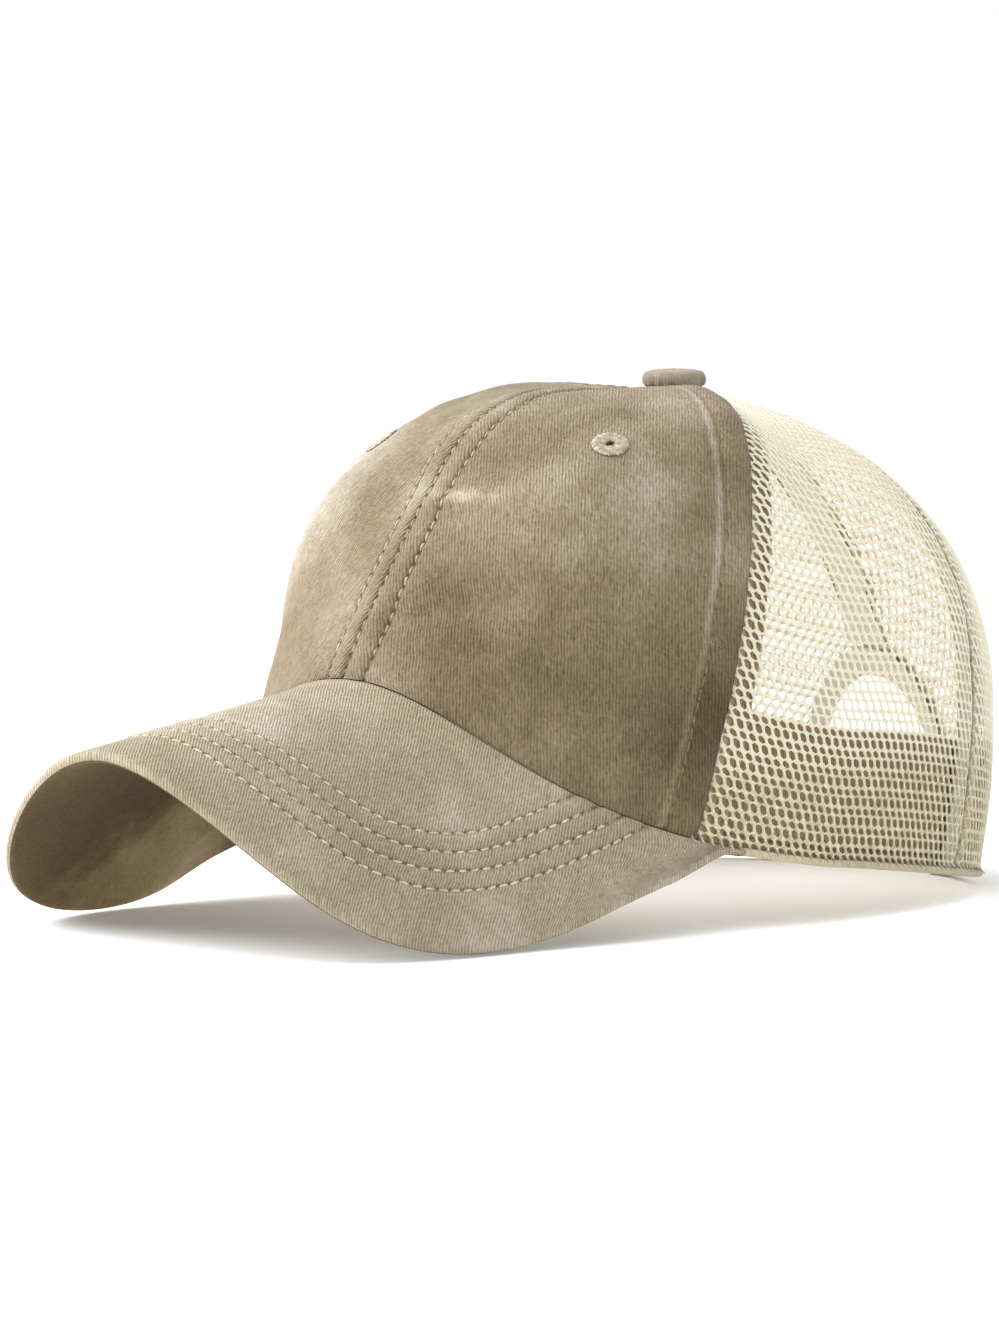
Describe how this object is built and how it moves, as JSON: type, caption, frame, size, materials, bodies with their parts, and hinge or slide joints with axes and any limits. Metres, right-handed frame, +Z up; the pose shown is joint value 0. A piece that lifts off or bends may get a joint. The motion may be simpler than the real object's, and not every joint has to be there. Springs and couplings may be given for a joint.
{
  "type": "trucker cap",
  "caption": "Trucker cap with a washed cotton front, open mesh sides and back, a curved stitched peak, sewn eyelets and a covered top button.",
  "frame": {"origin": "centre of the bounding box's bottom face, on the table that the cap stands on", "axes": "+X to the wearer's left, -Y out along the peak, +Y to the back of the head, +Z up; X = 0 is the mirror plane"},
  "size_m": [0.1558, 0.2728, 0.1302],
  "materials": {
    "front_cotton": "washed khaki-brown cotton twill, matt, paler where it is worn",
    "mesh_net": "open knitted cream net, matt",
    "seam_tape": "tan woven tape, matt",
    "rim_tape": "tan woven tape, matt",
    "eyelet_thread": "cream embroidery thread, slight sheen",
    "sweatband_cloth": "tan cotton twill, matt",
    "strap_webbing": "cream-tan webbing, matt",
    "peak_cotton": "washed greige cotton twill, matt, worn pale at the edge",
    "button_cotton": "brown cotton twill stretched over a button, matt"
  },
  "bodies": {
    "root": {"adjuster_strap": "strap_webbing", "back_mesh_left": "mesh_net", "back_mesh_right": "mesh_net", "back_middle_tape": "seam_tape", "back_seam_tape_left": "seam_tape", "back_seam_tape_right": "seam_tape", "eyelet_left": "eyelet_thread", "eyelet_right": "eyelet_thread", "front_middle_tape": "seam_tape", "front_panel_left": "front_cotton", "front_panel_right": "front_cotton", "front_seam_tape_left": "seam_tape", "front_seam_tape_right": "seam_tape", "opening_binding": "rim_tape", "peak": "peak_cotton", "rim_binding_left": "rim_tape", "rim_binding_right": "rim_tape", "side_mesh_left": "mesh_net", "side_mesh_right": "mesh_net", "sweatband": "sweatband_cloth", "top_button": "button_cotton"}
  },
  "joints": []
}
